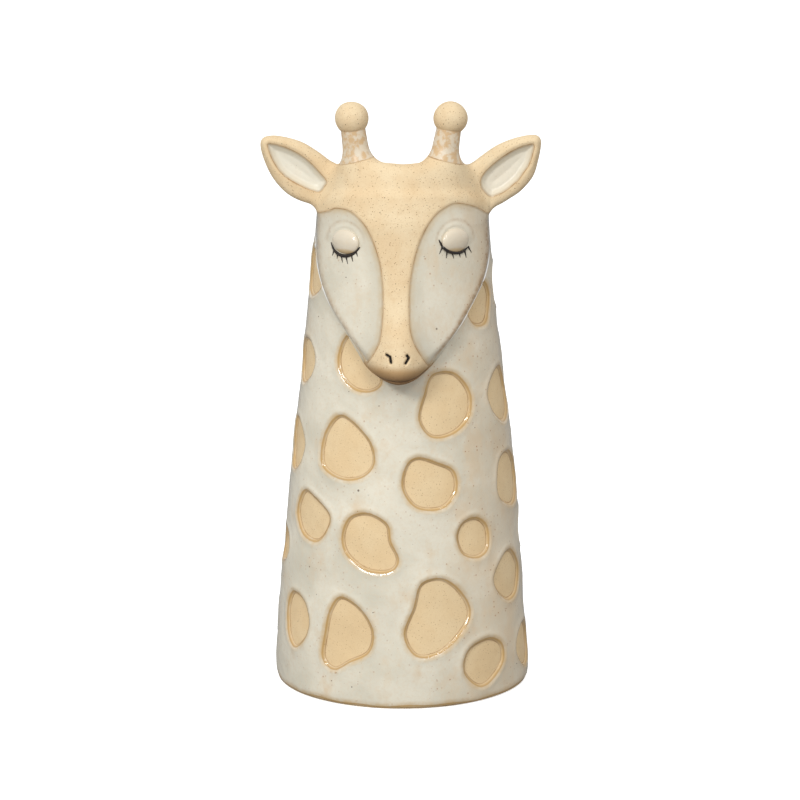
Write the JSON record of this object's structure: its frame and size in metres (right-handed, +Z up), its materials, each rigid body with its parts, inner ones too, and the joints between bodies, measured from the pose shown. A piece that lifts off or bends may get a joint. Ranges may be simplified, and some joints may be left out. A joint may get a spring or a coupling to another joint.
{
  "type": "stoneware giraffe vase",
  "caption": "Tapered round stoneware vase shaped as a giraffe's neck and head, with recessed bare-clay spots, a proud face, cupped ears, short horns and an open crown.",
  "frame": {"origin": "centre of the flat underside of the foot", "axes": "+Z up the neck, the face looks along -Y, +X to the right of someone facing it"},
  "size_m": [0.1452, 0.141, 0.3108],
  "materials": {
    "glaze": "glossy reactive glaze, grey white, breaking to tan at edges",
    "bare_clay": "matte speckled bare stoneware"
  },
  "bodies": {
    "root": {"neck_wall": "glaze", "base_disc": "bare_clay", "face_mask": "bare_clay", "eyelid_left": "glaze", "eyelid_right": "glaze", "ear_left": "bare_clay", "ear_right": "bare_clay", "horn_stem_left": "glaze", "horn_stem_right": "glaze", "horn_knob_left": "bare_clay", "horn_knob_right": "bare_clay"}
  },
  "joints": []
}
